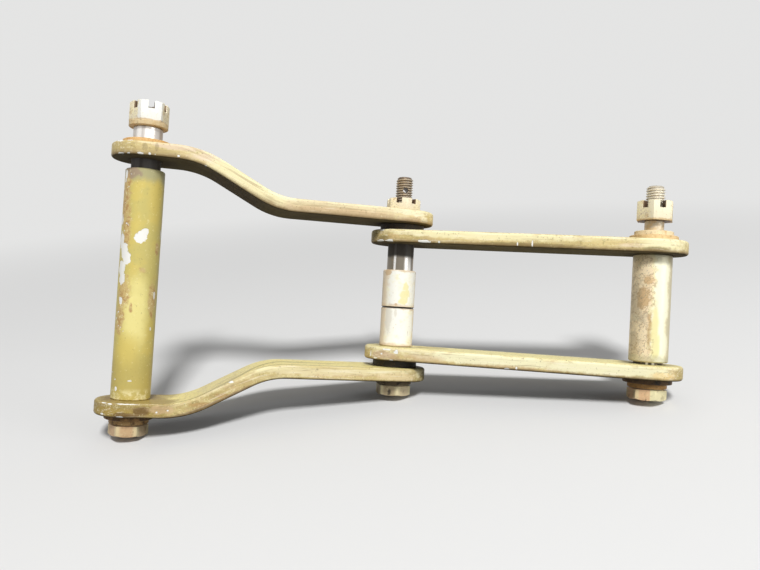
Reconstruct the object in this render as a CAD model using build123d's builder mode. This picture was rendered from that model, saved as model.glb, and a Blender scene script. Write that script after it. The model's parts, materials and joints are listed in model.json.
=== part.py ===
"""Flap scissor link: two pairs of flat links that fold about one middle bolt.

The outer pair is joggled: its links stand wide apart at the left joint and close together at the
middle joint, outside the straight inner pair. Each joint is a bolt through a steel sleeve, with a
castellated nut. The linkage stands on its three bolt heads, and leans as they make it lean.

Heights are measured along the bolts from the middle of the linkage, halfway between the links of
each pair. Millimetres and degrees.
"""
import os
from math import radians, tan

from build123d import *

# Links
link_thickness = 4.76
link_end_radius = 11.1
link_edge_round = 0.9
hole_edge_chamfer = 0.3
outer_centres = 90.5
inner_centres = 87.3
inner_gap = 37.0
fold_angle = 26.0

# Joggle of the outer links
wide_land = 17.0
joggle_slope = 28.0
joggle_bend_radius = 28.0

# Bolts and nuts
bolt_diameter = 6.32
thread_diameter = 6.2
free_thread_diameter = 5.86
tip_chamfer = 0.8
hex_sides = 6
hex_across_flats = 11.11
head_height = 3.97
tall_nut_height = 6.75
thin_nut_height = 4.76
nut_slots = 6
slot_width = 2.1
tall_slot_depth = 2.6
thin_slot_depth = 1.9
corner_chamfer_angle = 30.0

# Sleeves, tubes and spacers
sleeve_diameter = 9.525
tube_diameter = 12.7
spacer_diameter = 11.9
left_tube_length = 76.2
lower_spacer_length = 14.0
upper_spacer_length = 13.5
tube_edge_chamfer = 0.35

# Washers
small_washer_diameter = 12.7
small_washer_thickness = 1.6
wide_washer_diameter = 15.875
wide_washer_thickness = 1.6
thrust_washer_thickness = 2.4
washer_edge_chamfer = 0.2

# Clearances: on the radius of a bore, and on the length of a stack
bolt_clearance = 0.04
sleeve_clearance = 0.04
thread_clearance = 0.02
washer_clearance = 0.1
stack_play = 0.05
left_tube_play = 3.32

# How far the loose pieces stand out or apart
left_sleeve_standout = 4.7
left_bolt_below_nut_top = 1.5
middle_bolt_tail = 8.0
right_bolt_tail = 5.2
right_nut_gap = 3.6
right_tube_lift = 0.8

# Turn of each hexagon about its bolt, counted from a flat along the link's side
left_nut_turn = 10.5
left_head_turn = 0.0
middle_nut_turn = 27.0
middle_head_turn = 30.0
right_nut_turn = 17.0
right_head_turn = -12.0

# Heights that the stacks reach, the same above and below the middle
inner_face = inner_gap / 2
inner_outside = inner_face + link_thickness
outer_face = inner_outside + thrust_washer_thickness + 2 * stack_play
outer_outside = outer_face + link_thickness
left_face = (left_tube_length + left_tube_play) / 2
left_outside = left_face + link_thickness
wide_stack = wide_washer_thickness + small_washer_thickness
left_seat = left_outside + wide_stack
middle_seat = outer_outside + small_washer_thickness
right_seat = inner_outside + wide_stack

# Bores, from what goes through them
bolt_bore = bolt_diameter + 2 * bolt_clearance
sleeve_bore = sleeve_diameter + 2 * sleeve_clearance
nut_bore = thread_diameter + 2 * thread_clearance
small_washer_bore = bolt_diameter + 2 * washer_clearance
wide_washer_bore = sleeve_diameter + 2 * washer_clearance


# Frames
def foot_point(along, turn, seat):
    """Centre of a bolt head's face, in the middle bolt's own frame."""
    return Vector(along, 0, -seat - head_height).rotate(Axis.Z, turn)


left_foot = foot_point(-outer_centres, 0, left_seat)
middle_foot = foot_point(0, 0, middle_seat)
right_foot = foot_point(inner_centres, -fold_angle, right_seat)
across = right_foot - left_foot
ground = Plane(middle_foot, x_dir=across, z_dir=across.cross(middle_foot - left_foot))


def moved_along(frame, along):
    """The same frame, moved along its links to the next joint."""
    return Plane(frame.from_local_coords((along, 0, 0)), x_dir=frame.x_dir, z_dir=frame.z_dir)


# One frame for each joint: z up the bolt, x along the links. All are tipped so that the linkage
# stands on its bolt heads, with the middle one's face at the origin.
middle_frame = Plane(ground.location.inverse())
inner_frame = Plane(middle_frame.location * Rot(Z=-fold_angle))
left_frame = moved_along(middle_frame, -outer_centres)
right_frame = moved_along(inner_frame, inner_centres)


def section_of(frame):
    """Plane through a bolt's axis: x along the links, y up the bolt."""
    return Plane(frame.origin, x_dir=frame.x_dir, z_dir=-frame.y_dir)


def keep(piece, label):
    """Name a finished piece and write it out."""
    piece.part.label = label
    export_step(piece.part, f"parts/{label}.step")


# Links
def drill(link, frame, diameter, top, bottom):
    """A hole through a link, with its edges broken."""
    with BuildSketch(frame.offset(bottom)) as hole:
        Circle(diameter / 2)
    extrude(hole.sketch, amount=top - bottom, mode=Mode.SUBTRACT)
    rims = link.edges().filter_by(lambda edge: edge.geom_type == GeomType.CIRCLE)
    rims = rims.filter_by(lambda edge: abs(edge.radius - diameter / 2) < 0.001)
    chamfer(rims.filter_by(lambda edge: on_axis(edge, frame)), hole_edge_chamfer)


def on_axis(edge, frame):
    """Whether a round edge is centred on a joint's axis."""
    centre = frame.to_local_coords(edge.arc_center)
    return abs(centre.X) + abs(centre.Y) < 0.001


def outline_edges(link, frame):
    """Edges round a link's two broad faces, without its bend lines and its square corners."""
    bends = Axis(frame.origin, frame.y_dir)
    corners = Axis(frame.origin, frame.z_dir)
    return link.edges().filter_by(bends, reverse=True).filter_by(corners, reverse=True)


def straight_link(side):
    """A flat link of the inner pair, above the middle for side 1 and below it for side -1."""
    bottom, top = sorted((side * inner_face, side * inner_outside))
    with BuildPart() as link:
        with BuildSketch(inner_frame.offset(bottom)):
            with Locations((inner_centres / 2, 0)):
                SlotCenterToCenter(inner_centres, 2 * link_end_radius)
        extrude(amount=link_thickness)
        fillet(outline_edges(link, inner_frame), link_edge_round)
        drill(link, inner_frame, sleeve_bore, top, bottom)
        drill(link, right_frame, sleeve_bore, top, bottom)
    return link


def joggled_link(side):
    """A link of the outer pair: bent outwards and back, so that its left end stands wider."""
    narrow = side * outer_face
    wide = side * left_face
    wide_end = wide_land - outer_centres
    narrow_end = wide_end + (left_face - outer_face) / tan(radians(joggle_slope))
    spare = 2 * link_end_radius
    with BuildPart() as link:
        with BuildSketch(section_of(middle_frame)):
            with BuildLine():
                face_line = FilletPolyline(
                    (spare, narrow),
                    (narrow_end, narrow),
                    (wide_end, wide),
                    (-outer_centres - spare, wide),
                    radius=joggle_bend_radius,
                )
                offset(face_line, link_thickness, side=Side.RIGHT if side > 0 else Side.LEFT)
            make_face()
        extrude(amount=spare, both=True)
        with BuildSketch(middle_frame.offset(-left_outside - spare)):
            with Locations((-outer_centres / 2, 0)):
                SlotCenterToCenter(outer_centres, 2 * link_end_radius)
        extrude(amount=2 * (left_outside + spare), mode=Mode.INTERSECT)
        fillet(outline_edges(link, middle_frame), link_edge_round)
        bottom, top = sorted((side * outer_face, side * outer_outside))
        drill(link, middle_frame, bolt_bore, top, bottom)
        bottom, top = sorted((side * left_face, side * left_outside))
        drill(link, left_frame, sleeve_bore, top, bottom)
    return link


# Turned pieces
def ring(frame, bottom, length, diameter, bore, edge_chamfer):
    """A washer, sleeve, tube or spacer about a bolt, from its bottom face up."""
    with BuildPart() as piece:
        with BuildSketch(frame.offset(bottom)):
            Circle(diameter / 2)
            Circle(bore / 2, mode=Mode.SUBTRACT)
        extrude(amount=length)
        chamfer(piece.edges().filter_by(GeomType.CIRCLE), edge_chamfer)
    return piece


# Hexagons
def hexagon(frame, start, height, turn, outwards):
    """A hexagonal prism about a bolt, with the corners of its outer end turned down."""
    far = start + outwards * height
    with BuildSketch(frame.offset(start)) as prism:
        RegularPolygon(hex_across_flats / 2, hex_sides, major_radius=False, rotation=turn)
    extrude(prism.sketch, amount=outwards * height)
    rim = hex_across_flats / 2
    outer = hex_across_flats
    drop = (outer - rim) * tan(radians(corner_chamfer_angle))
    with BuildSketch(section_of(frame)) as cone:
        with BuildLine():
            Polyline(
                (0, far),
                (rim, far),
                (outer, far - outwards * drop),
                (outer, start),
                (0, start),
                close=True,
            )
        make_face()
    revolve(cone.sketch, axis=Axis(frame.origin, frame.z_dir), mode=Mode.INTERSECT)


def bolt(frame, seat, nut_bottom, nut_top, tip, turn):
    """A hexagon bolt that points up, its head under the seat below the lower link."""
    stretches = (
        (nut_bottom, bolt_diameter),
        (min(nut_top, tip), thread_diameter),
        (tip, free_thread_diameter),
    )
    with BuildPart() as piece:
        hexagon(frame, -seat, head_height, turn, -1)
        bottom = -seat
        for top, diameter in stretches:
            if top > bottom:
                with BuildSketch(frame.offset(bottom)):
                    Circle(diameter / 2)
                extrude(amount=top - bottom)
                bottom = top
        ends = piece.faces().filter_by(Axis(frame.origin, frame.z_dir))
        end = ends.sort_by(lambda face: frame.to_local_coords(face.center()).Z)[-1]
        chamfer(end.edges(), tip_chamfer)
    return piece


def castellated_nut(frame, bottom, height, slot_depth, turn):
    """A hexagon nut with a slot across each flat, cut down from its top."""
    with BuildPart() as piece:
        hexagon(frame, bottom, height, turn, 1)
        with BuildSketch(frame.offset(bottom)):
            Circle(nut_bore / 2)
        extrude(amount=height, mode=Mode.SUBTRACT)
        with BuildSketch(frame.offset(bottom + height)):
            for number in range(nut_slots // 2):
                across_flat = turn + (number + 0.5) * 360 / nut_slots
                Rectangle(2 * hex_across_flats, slot_width, rotation=across_flat)
        extrude(amount=-slot_depth, mode=Mode.SUBTRACT)
    return piece


os.makedirs("parts", exist_ok=True)

# The four links
keep(joggled_link(1), "outer_link_upper")
keep(joggled_link(-1), "outer_link_lower")
keep(straight_link(1), "inner_link_upper")
keep(straight_link(-1), "inner_link_lower")


def small_washer(frame, bottom):
    """A washer that fits the bolt and covers the end of the sleeve."""
    return ring(
        frame,
        bottom,
        small_washer_thickness,
        small_washer_diameter,
        small_washer_bore,
        washer_edge_chamfer,
    )


def wide_washer(frame, bottom):
    """A washer that fits over the sleeve and bears on a link."""
    return ring(
        frame,
        bottom,
        wide_washer_thickness,
        wide_washer_diameter,
        wide_washer_bore,
        washer_edge_chamfer,
    )


def sleeve(frame, bottom, top):
    """The steel sleeve that a joint turns on."""
    return ring(frame, bottom, top - bottom, sleeve_diameter, bolt_bore, tube_edge_chamfer)


# Left joint: a long tube between the wide ends, and a sleeve that stands out above the links
left_sleeve_top = left_outside + wide_washer_thickness + left_sleeve_standout
left_nut_bottom = left_sleeve_top + small_washer_thickness
left_nut_top = left_nut_bottom + tall_nut_height
left_bolt_tip = left_nut_top - left_bolt_below_nut_top
left_tube = ring(
    left_frame,
    stack_play - left_face,
    left_tube_length,
    tube_diameter,
    sleeve_bore,
    tube_edge_chamfer,
)
keep(left_tube, "left_tube")
keep(sleeve(left_frame, small_washer_thickness - left_seat, left_sleeve_top), "left_sleeve")
left_bolt = bolt(
    left_frame, left_seat, left_nut_bottom, left_nut_top, left_bolt_tip, left_head_turn
)
keep(left_bolt, "left_bolt")
left_nut = castellated_nut(
    left_frame, left_nut_bottom, tall_nut_height, tall_slot_depth, left_nut_turn
)
keep(left_nut, "left_nut")
keep(small_washer(left_frame, left_sleeve_top), "left_nut_washer")
keep(wide_washer(left_frame, left_outside), "left_upper_washer")
keep(wide_washer(left_frame, -left_outside - wide_washer_thickness), "left_lower_washer")
keep(small_washer(left_frame, -left_seat), "left_head_washer")

# Middle joint: the outer links clamp a sleeve, and the inner links turn on it
middle_nut_bottom = outer_outside
middle_nut_top = middle_nut_bottom + thin_nut_height
middle_bolt_tip = middle_nut_top + middle_bolt_tail
spacer_bottom = stack_play - inner_face
for label, spacer_length in (
    ("lower_spacer", lower_spacer_length),
    ("upper_spacer", upper_spacer_length),
):
    spacer = ring(
        middle_frame,
        spacer_bottom,
        spacer_length,
        spacer_diameter,
        sleeve_bore,
        tube_edge_chamfer,
    )
    keep(spacer, label)
    spacer_bottom += spacer_length + stack_play
keep(sleeve(middle_frame, -outer_face, outer_face), "middle_sleeve")
middle_bolt = bolt(
    middle_frame,
    middle_seat,
    middle_nut_bottom,
    middle_nut_top,
    middle_bolt_tip,
    middle_head_turn,
)
keep(middle_bolt, "middle_bolt")
middle_nut = castellated_nut(
    middle_frame, middle_nut_bottom, thin_nut_height, thin_slot_depth, middle_nut_turn
)
keep(middle_nut, "middle_nut")
keep(small_washer(middle_frame, -middle_seat), "middle_head_washer")
for label, bottom in (
    ("middle_upper_washer", inner_outside + stack_play),
    ("middle_lower_washer", stack_play - outer_face),
):
    thrust_washer = ring(
        middle_frame,
        bottom,
        thrust_washer_thickness,
        wide_washer_diameter,
        wide_washer_bore,
        washer_edge_chamfer,
    )
    keep(thrust_washer, label)

# Right joint: a shorter tube, and a nut that is backed off its washers
right_nut_bottom = right_seat + right_nut_gap
right_nut_top = right_nut_bottom + tall_nut_height
right_bolt_tip = right_nut_top + right_bolt_tail
right_tube = ring(
    right_frame,
    right_tube_lift - inner_face,
    inner_gap - right_tube_lift - stack_play,
    tube_diameter,
    sleeve_bore,
    tube_edge_chamfer,
)
keep(right_tube, "right_tube")
right_sleeve_top = right_seat - small_washer_thickness
keep(sleeve(right_frame, -right_sleeve_top, right_sleeve_top), "right_sleeve")
right_bolt = bolt(
    right_frame, right_seat, right_nut_bottom, right_nut_top, right_bolt_tip, right_head_turn
)
keep(right_bolt, "right_bolt")
right_nut = castellated_nut(
    right_frame, right_nut_bottom, tall_nut_height, tall_slot_depth, right_nut_turn
)
keep(right_nut, "right_nut")
keep(small_washer(right_frame, right_sleeve_top), "right_nut_washer")
keep(wide_washer(right_frame, inner_outside), "right_upper_washer")
keep(wide_washer(right_frame, -inner_outside - wide_washer_thickness), "right_lower_washer")
keep(small_washer(right_frame, -right_seat), "right_head_washer")
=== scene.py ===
"""Looks of the flap scissor link: worn olive links and tubes on plated bolts with castellated nuts.

The frame is in metres. Names that end in _mm, and all numbers in the finishes, are millimetres
in the frame of one joint: x along the links, y away from the camera, z up the bolt.
"""
import json
from math import cos, pi, radians, sin, sqrt, tan

import bmesh
import bpy
from mathutils import Matrix, Vector


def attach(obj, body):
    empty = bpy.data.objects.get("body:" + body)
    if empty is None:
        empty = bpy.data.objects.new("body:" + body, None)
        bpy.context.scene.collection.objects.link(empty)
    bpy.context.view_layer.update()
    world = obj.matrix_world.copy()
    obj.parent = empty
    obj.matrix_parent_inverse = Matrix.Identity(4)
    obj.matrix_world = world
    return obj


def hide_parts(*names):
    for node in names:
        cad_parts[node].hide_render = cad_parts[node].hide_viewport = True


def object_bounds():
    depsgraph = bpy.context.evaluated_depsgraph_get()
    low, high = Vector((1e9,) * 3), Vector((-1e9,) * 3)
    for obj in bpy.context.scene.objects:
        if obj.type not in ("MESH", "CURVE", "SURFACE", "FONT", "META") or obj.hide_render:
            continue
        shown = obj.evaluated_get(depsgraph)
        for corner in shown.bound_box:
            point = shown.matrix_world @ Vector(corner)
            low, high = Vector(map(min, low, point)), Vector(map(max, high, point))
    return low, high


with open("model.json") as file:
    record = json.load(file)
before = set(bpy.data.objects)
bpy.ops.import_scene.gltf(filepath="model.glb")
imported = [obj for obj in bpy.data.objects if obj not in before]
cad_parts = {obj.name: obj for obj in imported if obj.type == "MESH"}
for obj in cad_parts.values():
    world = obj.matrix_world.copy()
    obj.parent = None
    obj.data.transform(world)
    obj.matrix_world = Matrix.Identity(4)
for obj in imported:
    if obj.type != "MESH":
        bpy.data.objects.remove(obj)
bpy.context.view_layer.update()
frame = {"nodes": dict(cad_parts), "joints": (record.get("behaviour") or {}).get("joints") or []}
mm = 0.001

# Camera, from the fit to the photograph
camera_place_mm = (-8.559, -237.069, 91.085)
camera_pitch = -11.942
camera_roll = -3.298
camera_yaw = -1.510
camera_lens = 32.54
sensor_width = 36.0

# Threads and bolts, in millimetres
thread_pitch_mm = 25.4 / 28
thread_crest_mm = 3.1
thread_root_mm = 2.62
thread_profile = (
    (0.0, thread_crest_mm),
    (0.125, thread_crest_mm),
    (0.42, thread_root_mm),
    (0.7, thread_root_mm),
)
tip_chamfer_mm = 0.8
hex_flats_mm = 11.11
hex_corner_mm = 0.35
head_rim_mm = 0.12
washer_face_height_mm = 0.4
washer_face_share = 0.94
cotter_hole_mm = 0.96
corner_slope = 30.0
nut_bevel_mm = 0.12
smooth_angle = 30.0

# Where a bolt's or a nut's finish changes, as two distances from its axis, in millimetres
worn_corner_mm = (5.75, 6.1)
thread_root_edge_mm = (thread_crest_mm - 0.22, thread_root_mm + 0.03)
nut_side_mm = (5.5, 5.3)
nut_bore_mm = (5.15, 4.6)

# Colours, linear
olive = (0.47, 0.37, 0.14)
dark_olive = (0.22, 0.17, 0.055)
green_grey = (0.40, 0.38, 0.22)
khaki = (0.74, 0.60, 0.27)
cream = (0.92, 0.84, 0.50)
pink_tan = (0.66, 0.47, 0.27)
white_chip = (0.90, 0.89, 0.83)
tube_olive = (0.60, 0.51, 0.165)
tube_gold = (0.69, 0.55, 0.15)
tube_pale = (0.86, 0.76, 0.30)
tube_foot = (0.50, 0.40, 0.12)
tawny = (0.60, 0.42, 0.20)
biscuit = (0.80, 0.62, 0.40)
dull_tan = (0.66, 0.57, 0.42)
rust = (0.46, 0.25, 0.09)
ochre = (0.60, 0.37, 0.15)
orange = (0.66, 0.36, 0.12)
brown = (0.15, 0.085, 0.035)
umber = (0.24, 0.20, 0.14)
smudge_brown = (0.36, 0.26, 0.19)
earth = (0.42, 0.31, 0.17)
dark_earth = (0.28, 0.19, 0.09)
grease_brown = (0.30, 0.21, 0.12)
slot_brown = (0.20, 0.115, 0.055)
bore_brown = (0.10, 0.055, 0.03)
root_brown = (0.11, 0.07, 0.04)
black_brown = (0.05, 0.035, 0.02)
soot_and_shade = (0.03, 0.024, 0.018)
drab = (0.36, 0.28, 0.14)
deep_olive = (0.42, 0.31, 0.09)
olive_brown = (0.44, 0.31, 0.08)
mustard = (0.50, 0.38, 0.13)
clay = (0.62, 0.46, 0.29)
dusty_tan = (0.78, 0.60, 0.42)
rosy = (0.84, 0.66, 0.52)
amber = (0.88, 0.66, 0.30)
sand = (0.94, 0.77, 0.46)
warm_cream = (0.90, 0.76, 0.56)
light_cream = (0.95, 0.88, 0.60)
lemon = (0.97, 0.93, 0.62)
near_white = (1.0, 0.98, 0.88)
steel_glint = (0.95, 0.93, 0.90)
dark_steel = (0.17, 0.155, 0.135)
plating = (0.88, 0.87, 0.80)
gold = (0.82, 0.72, 0.42)
ivory = (0.96, 0.95, 0.86)
yellow = (0.88, 0.80, 0.38)
worn_grey = (0.55, 0.49, 0.35)
worn_tan = (0.96, 0.79, 0.53)
worn_cream = (0.95, 0.92, 0.66)
glint = (0.98, 0.96, 0.74)
vein_brown = (0.42, 0.28, 0.14)
tube_top_shade = (0.30, 0.25, 0.12)
streak_grey = (0.45, 0.40, 0.33)
spot_grey = (0.80, 0.76, 0.66)
nut_tan = (0.84, 0.74, 0.52)
nut_dust = (0.72, 0.60, 0.40)
# The lighter top of the inner lower link, partly painted light
bright_top = (1.0, 0.91, 0.42)
bright_streak = (1.0, 0.92, 0.72)

# Joint frames, from the joints of the model
joint_of = {joint["name"]: joint for joint in frame["joints"]}
bolt_direction = Vector(joint_of["scissor_fold"]["axis"])
middle_point = Vector(joint_of["scissor_fold"]["pos_m"])
left_point = Vector(joint_of["left_tube_spin"]["pos_m"])
right_point = Vector(joint_of["right_tube_spin"]["pos_m"])


def joint_frame(origin, along):
    """Frame of a joint: z up its bolt, x along its links."""
    x = along.normalized()
    y = bolt_direction.cross(x)
    place = Matrix((x, y, bolt_direction)).transposed().to_4x4()
    place.translation = origin
    return place


outer_along = middle_point - left_point
inner_along = right_point - middle_point
left_joint = joint_frame(left_point, outer_along)
middle_joint = joint_frame(middle_point, outer_along)
inner_joint = joint_frame(middle_point, inner_along)
right_joint = joint_frame(right_point, inner_along)
outer_length_mm = outer_along.length / mm
inner_length_mm = inner_along.length / mm


def local_points(node, place):
    """The node's vertices in a joint's frame, in millimetres."""
    inverse = place.inverted()
    return [inverse @ vertex.co / mm for vertex in frame["nodes"][node].data.vertices]


def heights(node, place):
    """Lowest and highest point of a node along a bolt, in millimetres."""
    along = [point.z for point in local_points(node, place)]
    return min(along), max(along)


def corner_turn(node, place):
    """Direction of a hexagon's corner about its bolt, in radians."""
    corner = max(local_points(node, place), key=lambda point: point.xy.length)
    return -Vector((1, 0)).angle_signed(corner.xy)


def round_spot(radius_mm, turn, height):
    """Point on a tube, by its turn about the bolt and its height."""
    return (radius_mm * cos(radians(turn)), radius_mm * sin(radians(turn)), height)


# Finishes
class Coat:
    """A procedural material, laid colour over colour in one joint's frame in millimetres."""

    def __init__(self, name, place, colour):
        self.material = bpy.data.materials.new(name)
        self.material.use_nodes = True
        self.nodes = self.material.node_tree.nodes
        self.links = self.material.node_tree.links
        self.surface = self.nodes["Principled BSDF"]
        coordinates = self.nodes.new("ShaderNodeTexCoord")
        to_joint = self.nodes.new("ShaderNodeMapping")
        to_joint.vector_type = "TEXTURE"
        to_joint.inputs["Location"].default_value = place.translation
        to_joint.inputs["Rotation"].default_value = place.to_euler()
        self.links.new(coordinates.outputs["Object"], to_joint.inputs["Vector"])
        self.point = self.vector("SCALE", to_joint.outputs["Vector"], scale=1 / mm)
        self.normal = coordinates.outputs["Normal"]
        self.place = place
        parts = self.nodes.new("ShaderNodeSeparateXYZ")
        self.links.new(self.point, parts.inputs[0])
        self.x, self.y, self.z = parts.outputs
        self.colour = colour

    def feed(self, socket, value):
        """Link a socket, or set its number."""
        if isinstance(value, bpy.types.NodeSocket):
            self.links.new(value, socket)
        elif socket.type == "RGBA" and len(value) == 3:
            socket.default_value = (*value, 1)
        else:
            socket.default_value = value

    def vector(self, operation, first, second=(0, 0, 0), scale=1.0):
        node = self.nodes.new("ShaderNodeVectorMath")
        node.operation = operation
        self.feed(node.inputs[0], first)
        if operation == "SCALE":
            node.inputs["Scale"].default_value = scale
        elif operation != "LENGTH":
            self.feed(node.inputs[1], second)
        if operation in ("DOT_PRODUCT", "LENGTH"):
            return node.outputs["Value"]
        return node.outputs["Vector"]

    def math(self, operation, first, second=0.0):
        node = self.nodes.new("ShaderNodeMath")
        node.operation = operation
        self.feed(node.inputs[0], first)
        self.feed(node.inputs[1], second)
        return node.outputs[0]

    def band(self, value, low, high):
        """0 below low and 1 above high, or the other way round, with a soft step between."""
        node = self.nodes.new("ShaderNodeMapRange")
        node.interpolation_type = "SMOOTHSTEP"
        self.feed(node.inputs["Value"], value)
        limits = (high, low, 1.0, 0.0) if low > high else (low, high, 0.0, 1.0)
        for name, limit in zip(("From Min", "From Max", "To Min", "To Max"), limits):
            node.inputs[name].default_value = limit
        return node.outputs["Result"]

    def noise(self, size, detail, seed, stretch=(1, 1, 1), roughness=0.55, point=None):
        """Noise with blotches of about this size, from 0 to 1 about a middle of 0.5."""
        node = self.nodes.new("ShaderNodeTexNoise")
        node.noise_dimensions = "4D"
        stretched = self.vector("MULTIPLY", point or self.point, stretch)
        self.links.new(stretched, node.inputs["Vector"])
        settings = {"W": seed, "Scale": 1 / size, "Detail": detail, "Roughness": roughness}
        for name, value in settings.items():
            node.inputs[name].default_value = value
        return node.outputs["Fac"]

    def combined(self, x, y, z):
        """A point from its three coordinates."""
        node = self.nodes.new("ShaderNodeCombineXYZ")
        for socket, value in zip(node.inputs, (x, y, z)):
            self.feed(socket, value)
        return node.outputs[0]

    def both(self, first, second):
        """Mask that is 1 where both masks are."""
        return self.math("MULTIPLY", first, second)

    def either(self, first, second):
        """Mask that is 1 where one of the masks is."""
        return self.math("MAXIMUM", first, second)

    def shifted(self, value, noise, by):
        """A number pushed up and down by a noise, to make an edge ragged."""
        uneven = self.math("SUBTRACT", noise, 0.5)
        return self.math("ADD", value, self.math("MULTIPLY", uneven, by))

    def apart(self, first, second):
        """Distance between two numbers."""
        return self.math("ABSOLUTE", self.math("SUBTRACT", first, second))

    def varied(self, least, noise, by):
        """A number that grows from its least by a share of a noise."""
        return self.math("ADD", least, self.math("MULTIPLY", noise, by))

    def lay(self, paint, mask, share=1.0):
        """Lay a colour over the others where the mask is 1, at this share of its strength."""
        node = self.nodes.new("ShaderNodeMix")
        node.data_type = "RGBA"
        self.feed(node.inputs["Factor"], self.both(mask, share))
        self.feed(node.inputs[6], self.colour)
        self.feed(node.inputs[7], paint)
        self.colour = node.outputs[2]

    def tint(self, paint, value, low, high, share=1.0, within=None):
        """Lay a colour where a number has passed a soft step, within a mask if one is given."""
        mask = self.band(value, low, high)
        if within is not None:
            mask = self.both(within, mask)
        self.lay(paint, mask, share)

    def spots(self, table, ragged, grain, soft):
        """Patches with ragged edges, each given by a point of the surface and its half sizes."""
        covered = 0.0
        for number, (centre, size) in enumerate(table):
            offset = self.vector("SUBTRACT", self.point, centre)
            far = self.vector("LENGTH", self.vector("DIVIDE", offset, size))
            far = self.shifted(far, self.noise(grain, 3, number), 2 * ragged)
            covered = self.either(covered, self.band(far, 1 + soft, 1 - soft))
        return covered

    def facing(self, axis):
        """How far the surface faces along an axis of the joint's frame, from -1 to 1."""
        return self.vector("DOT_PRODUCT", self.normal, self.place.col[axis].xyz)

    def around(self):
        """Direction about the bolt, in degrees: 0 along the links, -90 towards the camera."""
        return self.math("MULTIPLY", self.math("ARCTAN2", self.y, self.x), 180 / pi)

    def radius(self):
        """Distance from the bolt's axis."""
        return self.vector("LENGTH", self.vector("MULTIPLY", self.point, (1, 1, 0)))

    def done(self, roughness, metallic, relief, depth, gloss=0.5):
        """Feed the shader. The relief's depth is in millimetres."""
        bump = self.nodes.new("ShaderNodeBump")
        bump.inputs["Distance"].default_value = depth * mm
        self.links.new(relief, bump.inputs["Height"])
        for name, value in (
            ("Base Color", self.colour),
            ("Roughness", roughness),
            ("Metallic", metallic),
            ("Specular IOR Level", gloss),
            ("Normal", bump.outputs["Normal"]),
        ):
            self.feed(self.surface.inputs[name], value)
        return self.material


# The links
joggle_from_mm = -82.0
joggle_to_mm = -40.0
middle_stretch_mm = 9
far_stretch_mm = 80
end_paint_fade_mm = 8


def across_thickness(coat, node):
    """Height across a link's thickness, from -1 at its lower face to 1 at its upper one."""
    points = local_points(node, coat.place)
    near = [point.z for point in points if abs(point.x) < middle_stretch_mm]
    far = [point.z for point in points if abs(point.x) > far_stretch_mm]
    half = (max(near) - min(near)) / 2
    near_middle = (max(near) + min(near)) / 2
    far_middle = (max(far) + min(far)) / 2
    along = coat.band(coat.x, joggle_to_mm, joggle_from_mm)
    middle = coat.varied(near_middle, along, far_middle - near_middle)
    return coat.math("DIVIDE", coat.math("SUBTRACT", coat.z, middle), half)


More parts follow.
